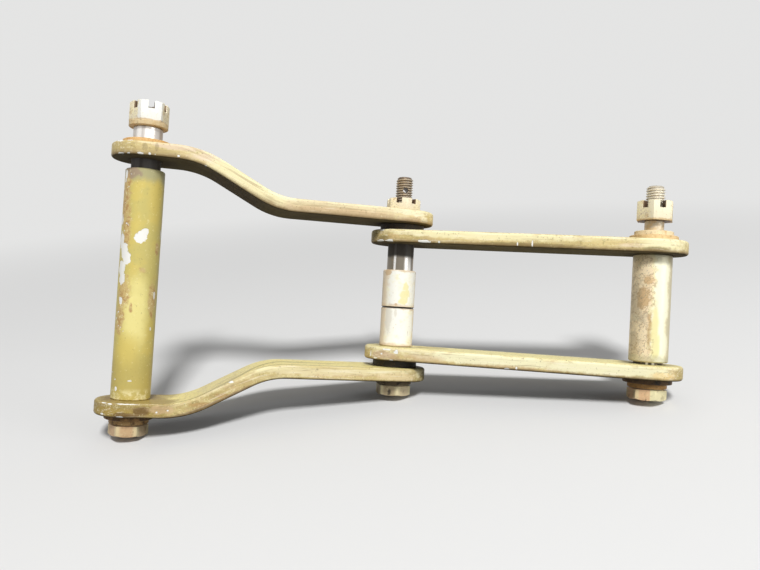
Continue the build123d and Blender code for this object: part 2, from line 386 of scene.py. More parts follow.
def link_finish(name, node, place, ends, chips, patches, seed, wear_and_light, creases=None):
    """Olive and khaki, worn to cream with painted highlight along the upper edges, with painted shade and
    grime below, chipped at the ends.
    """
    rim_share, shade_and_grime_from, top_paint_and_light, end_paint = wear_and_light
    coat = Coat(name, place, olive)
    up = coat.facing(2)
    flat = coat.math("ABSOLUTE", up)
    broad = coat.noise(26, 2, seed)
    cloudy = coat.noise(6, 4, seed + 1)
    brushed = coat.noise(2.6, 4, seed + 2, (0.10, 1, 1))
    mottled = coat.noise(2.2, 5, seed + 3, (0.6, 1, 1), 0.65)
    fine = coat.noise(0.7, 3, seed + 4)
    coat.tint(khaki, broad, 0.36, 0.60)
    coat.tint(pink_tan, coat.noise(11, 3, seed + 5), 0.52, 0.70, 0.55)
    coat.tint(khaki, brushed, 0.46, 0.70, 0.7)
    coat.tint(cream, brushed, 0.55, 0.78, 0.7)
    coat.tint(dark_olive, cloudy, 0.44, 0.26, 0.45)
    coat.tint(dark_olive, mottled, 0.40, 0.26, 0.5)
    # Painted highlight along the upper part of the sides, then their upper rim, then the paint of the top
    # and the far end
    level = across_thickness(coat, node)
    across = coat.shifted(level, mottled, 0.8)
    side = coat.band(flat, 0.96, 0.86)
    coat.tint(cream, across, 0.1, 0.75, 0.55, side)
    # On the upper rim, olive as painted shade that tones down the light there, then cream that is partly
    # wear and partly painted highlight
    upper_rim = coat.both(coat.band(up, 0.16, 0.4), coat.band(up, 0.92, 0.7))
    coat.lay(olive, upper_rim, 0.5)
    coat.tint(cream, cloudy, 0.34, 0.55, rim_share, upper_rim)
    # The top's paint is lighter partly as painted light on the top faces
    ragged_up = coat.shifted(up, mottled, 0.3)
    coat.tint(top_paint_and_light, ragged_up, 0.8, 0.95, 0.9)
    ragged_x = coat.shifted(coat.x, cloudy, 16)
    coat.tint(end_paint, ragged_x, joggle_from_mm + end_paint_fade_mm, joggle_from_mm, 0.9)
    grain = coat.noise(0.8, 5, seed + 7, roughness=0.7)
    coat.tint(pink_tan, grain, 0.50, 0.60, 0.35)
    coat.tint(cream, grain, 0.47, 0.38, 0.4)
    coat.tint(dark_olive, coat.noise(1.3, 4, seed + 8), 0.58, 0.68, 0.4)
    # Brown beside the bolts on the flat faces: grime and painted shade
    for middle in ends:
        away = coat.vector("SUBTRACT", coat.point, middle)
        far = coat.vector("LENGTH", coat.vector("MULTIPLY", away, (1, 1, 0)))
        close = coat.both(coat.band(far, 12.0, 7.0), coat.band(cloudy, 0.30, 0.58))
        coat.tint(brown, flat, 0.8, 0.95, 0.6, close)
    for paint, share, *table in patches:
        coat.lay(paint, coat.spots(table, 0.7, 2.4, 0.3), share)
    # Fine streaks along the sides, which follow the joggle, and painted shade with grime along their lower
    # part
    flow = coat.combined(coat.x, coat.y, coat.math("MULTIPLY", level, 2.4))
    streaks = coat.noise(0.6, 3, seed + 9, (0.05, 1, 1), 0.6, flow)
    coat.tint(earth, streaks, 0.54, 0.66, 0.5, side)
    coat.tint(bright_streak, streaks, 0.46, 0.36, 0.4, side)
    coat.tint(dark_earth, across, shade_and_grime_from, -1.0, 0.85, side)
    coat.tint(brown, fine, 0.60, 0.70, 0.45)
    coat.tint(cream, fine, 0.36, 0.30, 0.35)
    # Bare chips: a few along the edges, and those that the photograph shows
    rim = coat.both(coat.band(flat, 0.12, 0.35), coat.band(flat, 0.9, 0.75))
    small = coat.both(rim, coat.band(coat.noise(1.7, 4, seed + 6), 0.68, 0.70))
    bare = coat.either(small, coat.spots(chips, 0.9, 0.9, 0.05))
    coat.lay(brown, coat.spots(chips, 1.0, 1.0, 0.5), 0.25)
    coat.lay(white_chip, bare)
    # Painted shade on the underside, dark and rough
    below = coat.band(ragged_up, -0.5, -0.9)
    coat.lay(soot_and_shade, below, 0.85)
    relief = coat.math("SUBTRACT", coat.math("MULTIPLY", mottled, 0.5), coat.both(bare, 0.6))
    if creases:
        relief = coat.math("SUBTRACT", relief, creases(coat))
    roughness = coat.math("ADD", coat.varied(0.36, cloudy, 0.25), coat.both(below, 0.4))
    return coat.done(roughness, 0.0, relief, 0.10, 0.12)


# Tool lines: their place across the link, how far they follow the bend, half width, start and end
crease_colour = (0.24, 0.18, 0.055)
crease_bend_mm = (-61, -41)
crease_shift_mm = 9.4
crease_lines_mm = (
    (-9.8, 1.0, 1.05, -74, -24),
    (-7.6, 0.9, 0.60, -62, -36),
    (-9.4, 0.0, 0.85, -48, -12),
)


def bend_creases(coat):
    """Tool lines that run along the upper face of the lower outer link, over its bend."""
    lines = 0.0
    curved = coat.math("MULTIPLY", coat.band(coat.x, *crease_bend_mm), crease_shift_mm)
    for across, bend, width, start, end in crease_lines_mm:
        line = coat.math("ADD", coat.math("MULTIPLY", curved, bend), across)
        off = coat.apart(coat.y, line)
        begun = coat.band(coat.x, start - 4, start)
        along = coat.both(begun, coat.band(coat.x, end + 5, end))
        lines = coat.either(lines, coat.both(along, coat.band(off, width, 0.1)))
    lines = coat.both(lines, coat.band(coat.facing(2), 0.5, 0.7))
    coat.lay(crease_colour, lines, 0.75)
    return coat.both(lines, 0.9)


outer_ends = ((0, 0, 0), (-outer_length_mm, 0, 0))
inner_ends = ((0, 0, 0), (inner_length_mm, 0, 0))

# Chips, each as its centre and half sizes in its link's joint frame, and patches, as their colour,
# the share of its strength, and the places that have it; most are stains, and those marked are painted
# highlight, light and shade
outer_upper_chips = (
    ((-98.4, -8, 44.3), (1.6, 1.2, 0.4)),
    ((-95, -9.8, 44.5), (1.2, 1, 0.35)),
    ((-98.2, -8.6, 40.1), (1.9, 1.4, 0.4)),
    ((-95.2, -10.2, 40.1), (0.5, 0.8, 0.35)),
    ((-91.6, -11, 40.3), (0.9, 0.6, 0.35)),
    ((-88.6, -11, 40.4), (0.4, 0.5, 0.4)),
    ((-79.6, -11, 40.6), (0.45, 0.5, 0.4)),
)
outer_upper_stains_and_light = (
    (olive, 0.45, ((-97, -8, 42), (7, 6, 3)), ((-86, -11.1, 41.2), (6, 2, 1.4))),
    # Rosy streaks along the upper part of the front: painted highlight
    (rosy, 0.6, ((-80, -10.9, 43.4), (8, 2, 0.9)), ((-70, -10.9, 41), (6, 2, 1.2))),
    (drab, 0.6, ((-90.2, -11.1, 42.6), (1, 0.7, 1.3)), ((-86.6, -11.1, 42.8), (0.6, 0.6, 1.4))),
    (warm_cream, 0.4, ((-36, -11.1, 31), (46, 2, 14))),
    (pink_tan, 0.6, ((-24, -11.1, 27.2), (17, 2, 1.3)), ((0, -11.1, 26.4), (5, 2, 0.9))),
    # Light cream along the top edge by the middle bolt: painted highlight
    (light_cream, 0.8, ((2, -11.1, 29), (8, 2, 0.8)), ((5.4, -9.6, 27.2), (1.6, 2, 1.2))),
    # Cream along the top of the bend: painted highlight
    (cream, 0.8, ((-62, -11.1, 36.4), (9, 2, 5)), ((-49, -11.1, 31.2), (9, 2, 3.4))),
)
outer_lower_chips = (
    ((-97.6, -8.4, -40.1), (1.2, 0.8, 0.18)),
    ((-95.6, -9.8, -40.2), (0.8, 0.8, 0.2)),
    ((-91, -10.8, -40.05), (3.8, 0.7, 0.13)),
    ((-98, -8.2, -43.6), (0.9, 0.7, 0.3)),
    ((-92.4, -10.9, -44.1), (1.4, 0.7, 0.24)),
    ((-81.2, -11.1, -42.4), (0.3, 0.4, 0.3)),
    ((-77.8, -11.1, -41.8), (0.3, 0.4, 0.24)),
    ((-58.4, -10.8, -32), (1.1, 0.8, 0.36)),
    ((-1, -10.9, -25.4), (4.6, 0.7, 0.3)),
)
outer_lower_stains_and_light = (
    (deep_olive, 0.8, ((-84, -6, -40), (9, 5, 1.6))),
    (olive_brown, 0.6, ((-92, -9, -42.8), (12, 6, 1.5))),
    (brown, 0.8, ((-86, -11.1, -42.3), (2.8, 1.5, 1.5)), ((-91, -11.1, -43.7), (5, 1.4, 0.9))),
    (pink_tan, 0.6, ((-80, -11.1, -41.6), (4, 1.5, 1.2)), ((-26, -11.1, -28), (19, 2, 1.2))),
    # The second cream patch, on the rounded end by the middle bolt, is painted highlight
    (cream, 0.6, ((-32, -11.1, -27), (28, 2, 2)), ((6.6, -8.9, -27.4), (1.5, 2, 1.8))),
    (olive, 0.45, ((-1, -11.1, -28.4), (4, 2, 1)), ((4.6, -9.6, -26.4), (1.6, 2, 1))),
    (mustard, 0.5, ((-30, -10.9, -26.1), (30, 0.8, 0.6))),
    # Sand by the middle bolt: painted light over the shadow of the inner lower link
    (sand, 0.55, ((-1, -11.1, -28.6), (7, 2, 1.5))),
    # Dark olive where the rounded end turns away: painted shade
    (dark_olive, 0.9, ((10.4, -4.6, -28), (1.6, 3.4, 3))),
    (rust, 0.5, ((-67, -11.1, -39.8), (5, 1.4, 0.8)), ((-61, -11.1, -36.6), (3, 1.4, 0.7))),
)
inner_upper_chips = (
    ((-6, -9.2, 19), (2, 1.2, 0.45)),
    ((-2.6, -10.7, 19), (1.9, 0.7, 0.5)),
    ((10.2, -11.1, 19.1), (2.1, 0.7, 0.6)),
    ((15.3, -11.1, 19), (0.35, 0.5, 0.35)),
    ((-5.6, -9.4, 22.8), (1.4, 1, 0.35)),
    ((42, -11.1, 19.5), (0.25, 0.5, 0.7)),
    ((46.9, -11.1, 19.9), (0.25, 0.5, 1)),
)
inner_upper_stains_and_light = (
    (dark_olive, 0.7, ((-8.6, -7, 21), (2.2, 2.4, 1.8)), ((-4.4, -10.2, 20.2), (3, 2, 0.7))),
    (tawny, 0.5, ((-1.2, -11.1, 20.6), (2.4, 1.2, 1))),
    (dusty_tan, 0.5, ((80, -11.1, 20.6), (5, 1.5, 0.8))),
    # Near white on the right end: painted highlight
    (near_white, 0.9, ((89, -10.2, 21.8), (5.5, 2.6, 1.2))),
    (cream, 0.9, ((30, -11.1, 21.8), (30, 2, 1.2)), ((88, -8, 21.4), (9, 7, 2.4))),
    (dark_olive, 0.7, ((86.4, -11.1, 19.5), (4.2, 1.2, 0.9)), ((44, -11.1, 19.3), (16, 1, 0.7))),
)
inner_lower_chips = (
    ((2.3, -10.9, -20), (0.75, 0.6, 0.75)),
    ((-1.2, -11, -19.3), (1.5, 0.5, 0.28)),
    ((-7.2, -8.4, -21.2), (0.35, 0.5, 1)),
    ((-5.2, -9.8, -22.6), (0.9, 0.6, 0.3)),
    ((0.9, -11, -22.9), (0.8, 0.5, 0.28)),
    ((43.8, -11.1, -22.4), (0.3, 0.4, 0.7)),
    ((40.6, -11.1, -22.8), (0.8, 0.4, 0.22)),
    ((-2.9, -10.7, -20.9), (0.35, 0.4, 0.3)),
)
inner_lower_stains = (
    (cream, 0.9, ((-3, -10.2, -21), (4.6, 2.4, 2.1))),
    (clay, 0.9, ((-3.2, -10.4, -21.2), (3.9, 2, 1.6)), ((0.6, -11, -21.6), (1.6, 1, 1))),
    (tawny, 0.55, ((2.2, -11.1, -22), (1.8, 1, 1))),
    (lemon, 0.85, ((34, -11.1, -20.4), (26, 2, 1.8)), ((72, -11.1, -20.6), (24, 2, 1.8))),
    (pink_tan, 0.5, ((12, -11.1, -21.2), (7, 2, 1.1)), ((42, -11.1, -22.4), (10, 2, 0.7))),
    (olive, 0.55, ((96.4, -5, -20.8), (2.4, 4, 2.6)), ((13, 2, -18.6), (6, 7, 0.8))),
    (amber, 0.7, ((91, -10.6, -21.6), (4, 2, 1.2))),
)

# Tubes and spacers: each chip or stain as its turn about the bolt, its height and its half sizes
left_tube_chips = (
    (-90, 13.4, (1.6, 1.2, 1.6)),
    (-82, 13.9, (1.7, 1.2, 2.1)),
    (-76, 15.4, (1.3, 1.2, 1.4)),
    (-152, 12.4, (1.5, 1.5, 2.6)),
    (-136, 9, (1.6, 1.6, 2.6)),
    (-124, 6.6, (1.7, 1.5, 2)),
    (-144, 3.2, (1.8, 1.8, 2.6)),
    (-138, -0.2, (1.5, 1.5, 1.9)),
    (-160, 19.4, (0.9, 0.9, 1.7)),
    (-151, 34.4, (0.9, 0.9, 1.5)),
    (-154, 32.4, (0.5, 0.5, 0.9)),
    (-137, -7.3, (0.8, 0.8, 1.3)),
    (-28, -5.1, (0.5, 0.5, 1.2)),
    (-12, 15.4, (0.4, 0.4, 1.7)),
    (-36, -16.2, (0.3, 0.3, 0.6)),
    (-138, -33, (0.3, 0.3, 0.3)),
    (-90, -33.2, (0.7, 0.5, 0.2)),
    (-132, -36, (0.5, 0.5, 0.8)),
    (95, 22, (1.6, 1.6, 2.8)),
    (140, -6, (1.2, 1.2, 3.4)),
)
left_tube_rust = (
    (-146, 27, (2, 2.2, 9)),
    (-132, 16, (1.6, 1.8, 7)),
    (-130, -5, (2.4, 2.2, 5)),
    (-138, -13, (1.9, 1.8, 5)),
    (-28, 10.4, (1, 1, 2)),
    (-36, -6.4, (1.6, 1.6, 5.4)),
    (-74, 3, (1.1, 0.8, 0.9)),
    (-101, -9.5, (0.5, 0.5, 1.6)),
    (60, 14, (3.5, 3.5, 9)),
    (130, -18, (3, 3, 8)),
)


def on_tube(radius_mm, *table):
    """Chips or stains of a tube as points and half sizes."""
    return [(round_spot(radius_mm, turn, height), size) for turn, height, size in table]


def left_tube_finish(radius_mm):
    """Olive paint with white chips and rust, and grey painted shade at its top under the upper link."""
    coat = Coat("olive_tube_paint", left_joint, tube_olive)
    cloudy = coat.noise(7, 4, 21)
    mottled = coat.noise(2.4, 5, 24, roughness=0.65)
    fine = coat.noise(0.8, 3, 22)
    smeared = coat.noise(4, 4, 23, (1, 1, 0.25))
    coat.tint(tube_gold, cloudy, 0.42, 0.62, 0.8)
    pale = on_tube(radius_mm, (-88, -11, (4.4, 3, 11)))
    coat.lay(tube_pale, coat.spots(pale, 0.5, 5.0, 0.5), 0.9)
    deep = on_tube(radius_mm, (-44, 27, (3, 3, 8)), (-110, -25, (5, 5, 6)))
    coat.lay(tube_gold, coat.spots(deep, 0.4, 5.0, 0.5), 0.9)
    coat.tint(dark_olive, mottled, 0.38, 0.24, 0.25)
    # Painted shade of the upper link, grey along the tube's top
    coat.tint(green_grey, coat.shifted(coat.z, smeared, 5), 31, 34, 0.8)
    smudge = on_tube(radius_mm, (-128, 35, (3.4, 3, 2.4)))
    coat.lay(smudge_brown, coat.spots(smudge, 0.8, 1.6, 0.2), 0.8)
    coat.tint(tube_foot, coat.shifted(coat.z, smeared, 9), -22, -29, 0.7)
    coat.tint(cream, mottled, 0.42, 0.56, 0.6, coat.band(coat.z, -35.4, -37.6))
    rusty = coat.spots(on_tube(radius_mm, *left_tube_rust), 0.9, 1.8, 0.35)
    flaked = coat.noise(1.2, 5, 26, roughness=0.7)
    coat.lay(tawny, rusty, 0.7)
    coat.tint(rust, flaked, 0.50, 0.57, 0.8, rusty)
    coat.tint(cream, flaked, 0.42, 0.36, 0.7, rusty)
    coat.tint(brown, fine, 0.63, 0.70, 0.25)
    coat.tint(cream, fine, 0.38, 0.32, 0.3)
    chipped = coat.spots(on_tube(radius_mm, *left_tube_chips), 0.6, 1.3, 0.04)
    left_side = coat.band(coat.around(), -112, -126)
    flecks = coat.both(coat.band(coat.noise(1.1, 3, 25), 0.66, 0.68), left_side)
    chipped = coat.either(chipped, flecks)
    coat.lay(white_chip, chipped)
    relief = coat.math("SUBTRACT", coat.math("MULTIPLY", mottled, 0.3), chipped)
    return coat.done(coat.varied(0.30, smeared, 0.25), 0.0, relief, 0.08, 0.25)


def right_tube_finish(radius_mm):
    """Gold plating worn through to grey and brown on the side towards the middle joint, with painted
    highlight down its front and painted shade at its top.
    """
    coat = Coat("gold_tube_plating", right_joint, gold)
    cloudy = coat.noise(5, 5, 31)
    mottled = coat.noise(1.9, 5, 32, roughness=0.7)
    fine = coat.noise(0.6, 3, 33)
    around = coat.shifted(coat.shifted(coat.around(), cloudy, 70), mottled, 30)
    coat.tint(cream, mottled, 0.4, 0.6)
    coat.tint(worn_grey, around, -48, -28, 0.7)
    worn = coat.band(around, -90, -102)
    coat.lay(worn_tan, worn, 0.9)
    coat.tint(worn_cream, mottled, 0.54, 0.66, 0.6, worn)
    brown_stains = ((-108, 9.5, (1.8, 1.5, 1.6)), (-122, 3.5, (2.6, 2.2, 3.4)), (-99, -3, (1, 0.8, 2)))
    coat.lay(ochre, coat.spots(on_tube(radius_mm, *brown_stains), 1.0, 1.3, 0.3), 0.7)
    tan_streak = on_tube(radius_mm, (-97, -9, (0.9, 0.8, 5)))
    coat.lay(tawny, coat.spots(tan_streak, 0.8, 1.5, 0.3), 0.8)
    grey_stains = ((-128, -3.2, (2.2, 2.2, 2.2)), (-150, 2, (2.4, 2.4, 9)), (-150, -12, (2.2, 2.2, 5)))
    coat.lay(umber, coat.spots(on_tube(radius_mm, *grey_stains), 1.2, 1.3, 0.5), 0.4)
    coat.tint(umber, fine, 0.56, 0.66, 0.5, worn)
    # Painted highlight: a pale band down the front
    bright = coat.both(coat.band(around, -94, -84), coat.band(around, -34, -48))
    coat.lay(glint, bright, 0.85)
    # A yellow strip inside the painted highlight, also painted highlight
    strip = on_tube(radius_mm, (-84, -8, (1.1, 0.9, 9)), (-78, -12, (1.2, 0.9, 4)))
    coat.lay(yellow, coat.spots(strip, 0.6, 3.0, 0.4), 0.85)
    wavy = coat.noise(3.0, 4, 34, roughness=0.6)
    ridge = coat.apart(wavy, 0.5)
    veins = coat.both(coat.band(ridge, 0.022, 0.008), coat.band(around, -78, -92))
    coat.lay(vein_brown, veins, 0.6)
    coat.tint(green_grey, coat.shifted(coat.z, cloudy, 5), -14.5, -16.5, 0.5)
    # Painted shade of the upper link along the tube's top
    coat.tint(tube_top_shade, coat.shifted(coat.z, cloudy, 4), 15.0, 18.0, 0.5)
    coat.tint(brown, fine, 0.66, 0.72, 0.25)
    return coat.done(coat.varied(0.26, mottled, 0.3), 0.25, mottled, 0.05)


def spacer_finish(name, radius_mm, bottom, top, dark_edge, patches):
    """Pale plating with tawny stains along the edges, and grime in the joint between the two."""
    coat = Coat(name, middle_joint, ivory)
    cloudy = coat.noise(3.2, 4, bottom)
    fine = coat.noise(0.6, 3, 42)
    streaks = coat.noise(1.4, 4, 43, (1, 1, 0.35), 0.65)
    coat.tint(cream, cloudy, 0.50, 0.72, 0.6)
    ragged_z = coat.shifted(coat.z, cloudy, 3)
    low = coat.band(ragged_z, bottom + 1.6, bottom + 0.5)
    high = coat.band(ragged_z, top - 0.9, top - 0.2)
    coat.lay(pink_tan, coat.either(low, high), 0.65)
    around = coat.shifted(coat.around(), cloudy, 60)
    coat.tint(biscuit, around, -136, -158, 0.7)
    coat.tint(biscuit, around, -44, -24, 0.5)
    coat.tint(streak_grey, streaks, 0.62, 0.74, 0.35)
    coat.tint(rust, fine, 0.64, 0.70, 0.45)
    for paint, *table in patches:
        coat.lay(paint, coat.spots(on_tube(radius_mm, *table), 0.8, 1.5, 0.3), 0.85)
    edge = coat.apart(coat.z, dark_edge)
    coat.tint(soot_and_shade, edge, 0.34, 0.22)
    return coat.done(coat.varied(0.34, cloudy, 0.25), 0.0, fine, 0.04)


# Bare and plated metal
def sleeve_finish(name, place, base, glint_turns, shade_from, shade_to):
    """Steel with bright bands down its length as painted highlights, brown on one side, and painted shade
    between two heights.
    """
    coat = Coat(name, place, base)
    smudged = coat.noise(2.6, 4, 51, (1, 1, 0.2))
    turned = coat.noise(0.5, 2, 52, (0.1, 0.1, 1))
    around = coat.around()
    coat.tint(dark_steel, smudged, 0.52, 0.66, 0.5)
    # Bright bands: painted highlights
    for turn, width in glint_turns:
        off = coat.apart(around, turn)
        coat.tint(steel_glint, coat.shifted(off, smudged, 10), width, 0.3 * width, 0.9)
    coat.tint(grease_brown, coat.shifted(around, smudged, 20), -46, -30, 0.7)
    coat.tint(tawny, coat.noise(1.6, 4, 53), 0.60, 0.70, 0.35)
    # Painted shade between the two heights: dark, rougher and not metal
    painted_shade = coat.band(coat.shifted(coat.z, smudged, 1.5), shade_from, shade_to)
    coat.lay(soot_and_shade, painted_shade, 0.9)
    roughness = coat.math("ADD", coat.varied(0.20, smudged, 0.2), coat.both(painted_shade, 0.4))
    metallic = coat.math("SUBTRACT", 0.5, coat.both(painted_shade, 0.5))
    return coat.done(roughness, metallic, turned, 0.01)


def bolt_finish(name, place, seat, nut_top, head_colours, thread, marks):
    """Plated head, worn shank, and a dull thread with dirt in its roots."""
    first, second, split = head_colours
    thread_colour, dirt_share = thread
    coat = Coat(name, place, first)
    cloudy = coat.noise(3.0, 5, 61, roughness=0.65)
    fine = coat.noise(0.6, 4, 62)
    radius = coat.radius()
    # The head's second colour beyond a line across it: partly painted light and shade on its facets
    coat.tint(second, coat.x, split - 0.2, split + 0.2)
    coat.tint(brown, cloudy, 0.54, 0.70, 0.4)
    coat.tint(cream, radius, *worn_corner_mm, 0.45)
    coat.tint(cream, fine, 0.58, 0.66, 0.3)
    coat.tint(brown, fine, 0.40, 0.32, 0.4)
    # Painted shade on the washer face, in the gap against the washer
    coat.tint(soot_and_shade, coat.z, seat - 0.45, seat - 0.25, 0.75)
    shank = coat.band(coat.z, seat - 0.05, seat + 0.05)
    coat.lay(dull_tan, shank)
    coat.tint(tawny, cloudy, 0.46, 0.60, 0.7, shank)
    threaded = coat.band(coat.z, nut_top - 3.4, nut_top - 3.2)
    coat.lay(thread_colour, threaded)
    coat.tint(tawny, cloudy, 0.48, 0.62, 0.5 * dirt_share, threaded)
    coat.tint(root_brown, radius, *thread_root_edge_mm, dirt_share, threaded)
    coat.lay(soot_and_shade, coat.spots(marks, 0.8, 1.0, 0.3), 0.85)
    return coat.done(coat.varied(0.30, cloudy, 0.25), 0.35, fine, 0.04)


def nut_finish(name, place, bottom, top, base, tan_from, tan_to, seed):
    """Whitened plating with tawny stains, brown in the slots and along its foot."""
    coat = Coat(name, place, base)
    cloudy = coat.noise(2.4, 5, seed, roughness=0.65)
    fine = coat.noise(0.6, 4, seed + 1)
    around = coat.shifted(coat.around(), cloudy, 24)
    left_side = coat.band(around, tan_from, tan_from - 8)
    side = coat.either(left_side, coat.band(around, tan_to, tan_to + 8))
    coat.lay(nut_tan, side, 0.9)
    coat.tint(tawny, cloudy, 0.54, 0.64, 0.8, side)
    coat.tint(cream, fine, 0.50, 0.60, 0.8, side)
    coat.tint(brown, fine, 0.44, 0.36, 0.5, side)
    coat.tint(nut_dust, cloudy, 0.58, 0.68, 0.55)
    coat.tint(tawny, coat.shifted(coat.z, cloudy, 1.6), bottom + 0.7, bottom + 0.2, 0.8)
    coat.tint(rust, fine, 0.62, 0.70, 0.45)
    inside = coat.band(coat.radius(), *nut_side_mm)
    coat.tint(slot_brown, coat.z, top - 0.05, top - 0.2, 0.9, inside)
    coat.tint(bore_brown, coat.radius(), *nut_bore_mm, 0.9)
    return coat.done(coat.varied(0.36, cloudy, 0.3), 0.1, fine, 0.05)


def washer_finish(name, place, base, shade, specks, seed):
    """Rusty plating, mottled and dirty, with this share of pale specks."""
    coat = Coat(name, place, base)
    cloudy = coat.noise(2.4, 4, seed)
    fine = coat.noise(0.6, 3, seed + 1)
    coat.tint(shade, cloudy, 0.46, 0.64)
    coat.tint(cream, fine, 0.60, 0.68, specks)
    coat.tint(brown, fine, 0.42, 0.34, 0.45)
    return coat.done(coat.varied(0.42, cloudy, 0.3), 0.0, fine, 0.05, 0.3)


# Meshes
def add_object(name, data):
    """A new object in the scene."""
    made = bpy.data.objects.new(name, data)
    bpy.context.scene.collection.objects.link(made)
    return made


def add_piece(name, mesh, material, body, node):
    """A piece that stands for one CAD node and rides on its body."""
    piece = add_object(name, mesh)
    mesh.materials.clear()
    mesh.materials.append(material)
    mesh.polygons.foreach_set("use_smooth", [True] * len(mesh.polygons))
    mesh.set_sharp_from_angle(angle=radians(smooth_angle))
    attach(piece, body)
    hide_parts(node)


def hexagon_radius(turn):
    """Distance from a hexagon's centre to its side, with turn in radians from a corner."""
    flat = hex_flats_mm / 2
    off = abs((turn + pi / 6) % (pi / 3) - pi / 6)
    centre = (flat - hex_corner_mm) / cos(pi / 6)
    inside = hex_corner_mm**2 - (centre * sin(off)) ** 2
    if inside > 0 and off < hex_corner_mm * sin(pi / 6) / centre:
        return centre * cos(off) + sqrt(inside)
    return flat / cos(pi / 6 - off)


corner_offsets = (-1.5, -0.75, 0, 0.75, 1.5, 7, 14, 22, 30, 38, 46, 53)
ring_turns = [radians(60 * side + offset) for side in range(6) for offset in corner_offsets]


class Turned:
    """A closed mesh of rings about a bolt, built in its joint's frame in millimetres."""

    def __init__(self, place, start_turn):
        self.mesh = bmesh.new()
        self.place = place
        self.start_turn = start_turn
        self.last = None

    def point(self, radius, turn, height):
        about = turn + self.start_turn
        return self.mesh.verts.new((radius * cos(about), radius * sin(about), height))

    def pairs(self, ring):
        return zip(ring, ring[1:] + ring[:1])

    def start(self, height):
        """Begin the mesh at a point on the axis."""
        self.foot = self.point(0, 0, height)

    def end(self, height):
        """Close the mesh to a point on the axis."""
        tip = self.point(0, 0, height)
        for here, there in self.pairs(self.last):
            self.mesh.faces.new((here, there, tip))

    def ring(self, shape):
        """A ring whose radius and height come from a function of the turn."""
        ring = []
        for turn in ring_turns:
            radius, height = shape(turn)
            ring.append(self.point(radius, turn, height))
        if self.last is None:
            for here, there in self.pairs(ring):
                self.mesh.faces.new((there, here, self.foot))
        else:
            for (here, there), (above, beside) in zip(self.pairs(self.last), self.pairs(ring)):
                self.mesh.faces.new((here, there, beside, above))
        self.last = ring

    def circle(self, radius, height):
        self.ring(lambda turn: (radius, height))

    def thread(self, low, high):
        """A helical thread from a circle at its root, chamfered at its tip."""
        tip_radius = thread_crest_mm - tip_chamfer_mm

        def placed(count, turn, share, radius):
            turned = count + (turn - ring_turns[0]) / (2 * pi)
            height = low + thread_pitch_mm * (turned + share - 1)
            height = min(max(height, low), high)
            radius = min(radius, thread_root_mm + height - low, tip_radius + high - height)
            return self.point(radius, turn, height)

        rows = []
        for count in range(int((high - low) / thread_pitch_mm) + 3):
            for turn in ring_turns:
                rows.append([placed(count, turn, *point) for point in thread_profile])
        around = len(ring_turns)
        last = len(thread_profile) - 1
        for here, there in zip(rows, rows[1:]):
            for lower in range(last):
                upper = lower + 1
                self.mesh.faces.new((here[lower], there[lower], there[upper], here[upper]))
        for index in range(len(rows) - around - 1):
            here, there = rows[index], rows[index + 1]
            above, beside = rows[index + around], rows[index + around + 1]
            self.mesh.faces.new((here[last], there[last], beside[0], above[0]))
        self.last = [self.point(tip_radius, turn, high) for turn in ring_turns]

    def finished(self, name):
        """The mesh, welded and moved to the joint's place."""
        bmesh.ops.remove_doubles(self.mesh, verts=self.mesh.verts, dist=1e-4)
        bmesh.ops.dissolve_degenerate(self.mesh, edges=self.mesh.edges, dist=1e-5)
        bmesh.ops.recalc_face_normals(self.mesh, faces=self.mesh.faces)
        self.mesh.transform(self.place @ Matrix.Scale(mm, 4))
        mesh = bpy.data.meshes.new(name)
        self.mesh.to_mesh(mesh)
        self.mesh.free()
        return mesh


def drilled(mesh, place, height, turn):
    """The mesh with a cotter hole through it, across the bolt."""
    cutter_mesh = bpy.data.meshes.new("cutter_mesh")
    cutter = bmesh.new()
    turned = Matrix.Rotation(radians(turn), 4, "Z") @ Matrix.Rotation(pi / 2, 4, "Y")
    bmesh.ops.create_cone(
        cutter,
        cap_ends=True,
        segments=24,
        radius1=cotter_hole_mm,
        radius2=cotter_hole_mm,
        depth=4 * thread_crest_mm,
        matrix=Matrix.Translation((0, 0, height)) @ turned,
    )
    cutter.transform(place @ Matrix.Scale(mm, 4))
    cutter.to_mesh(cutter_mesh)
    cutter.free()
    cutter_object = add_object("cutter", cutter_mesh)
    bolt_object = add_object("uncut", mesh)
    cut = bolt_object.modifiers.new("hole", "BOOLEAN")
    cut.object = cutter_object
    cut.solver = "EXACT"
    depsgraph = bpy.context.evaluated_depsgraph_get()
    result = bpy.data.meshes.new_from_object(bolt_object.evaluated_get(depsgraph))
    for made in (cutter_object, bolt_object):
        bpy.data.objects.remove(made)
    return result


